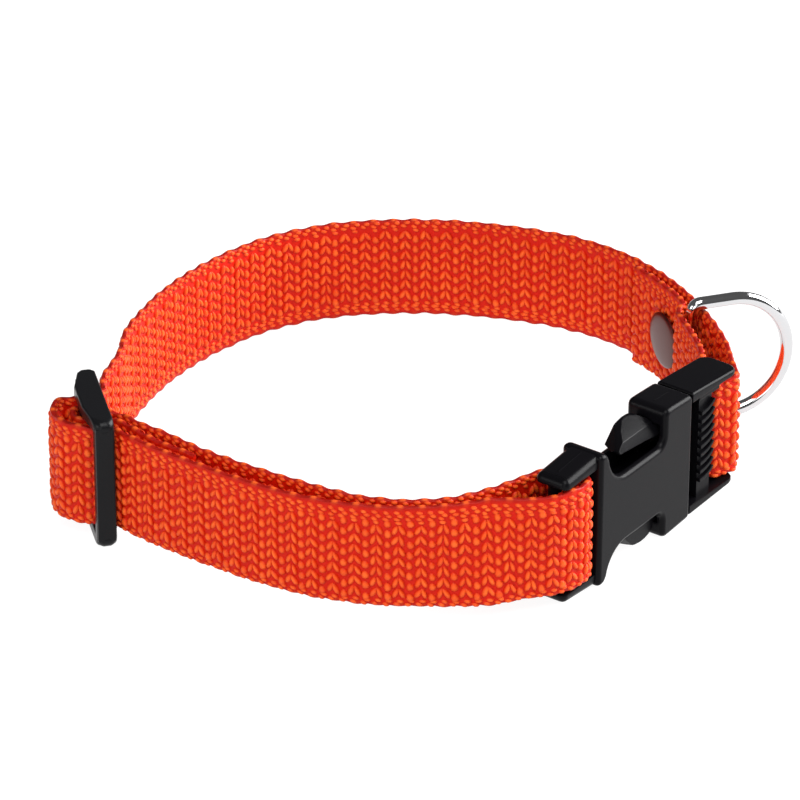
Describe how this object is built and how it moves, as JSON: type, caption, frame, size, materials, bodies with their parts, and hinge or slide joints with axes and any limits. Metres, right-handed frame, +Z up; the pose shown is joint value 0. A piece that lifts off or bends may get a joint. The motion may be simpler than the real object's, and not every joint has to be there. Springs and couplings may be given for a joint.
{
  "type": "dog collar",
  "caption": "Dog collar: a loop of webbing with a side-release buckle, a length slider, a D-ring held in a riveted fold, resting on its lower edge",
  "frame": {"origin": "middle of the bounding box at the level of the surface the collar lies on", "axes": "+Z up, across the webbing; +Y away from the buckle and the front layers, towards the single layer at the back; +X towards the D-ring's side"},
  "size_m": [0.1646, 0.1366, 0.0328],
  "materials": {
    "webbing": "coarse glossy orange-red weave",
    "buckle_plastic": "satin black",
    "ring_steel": "polished nickel plate",
    "rivet_metal": "brushed grey nickel"
  },
  "bodies": {
    "collar": {"strap": "webbing", "buckle_socket": "buckle_plastic", "buckle_plug": "buckle_plastic", "slider": "buckle_plastic", "rivet": "rivet_metal"},
    "ring": {"d_ring": "ring_steel"}
  },
  "joints": [
    {"name": "d_ring_swing", "type": "hinge", "parent": "collar", "child": "ring", "pos_m": [0.05924, 0.01711, 0.016], "axis": [0, 0, 1], "range_deg": [-50, 50]}
  ]
}
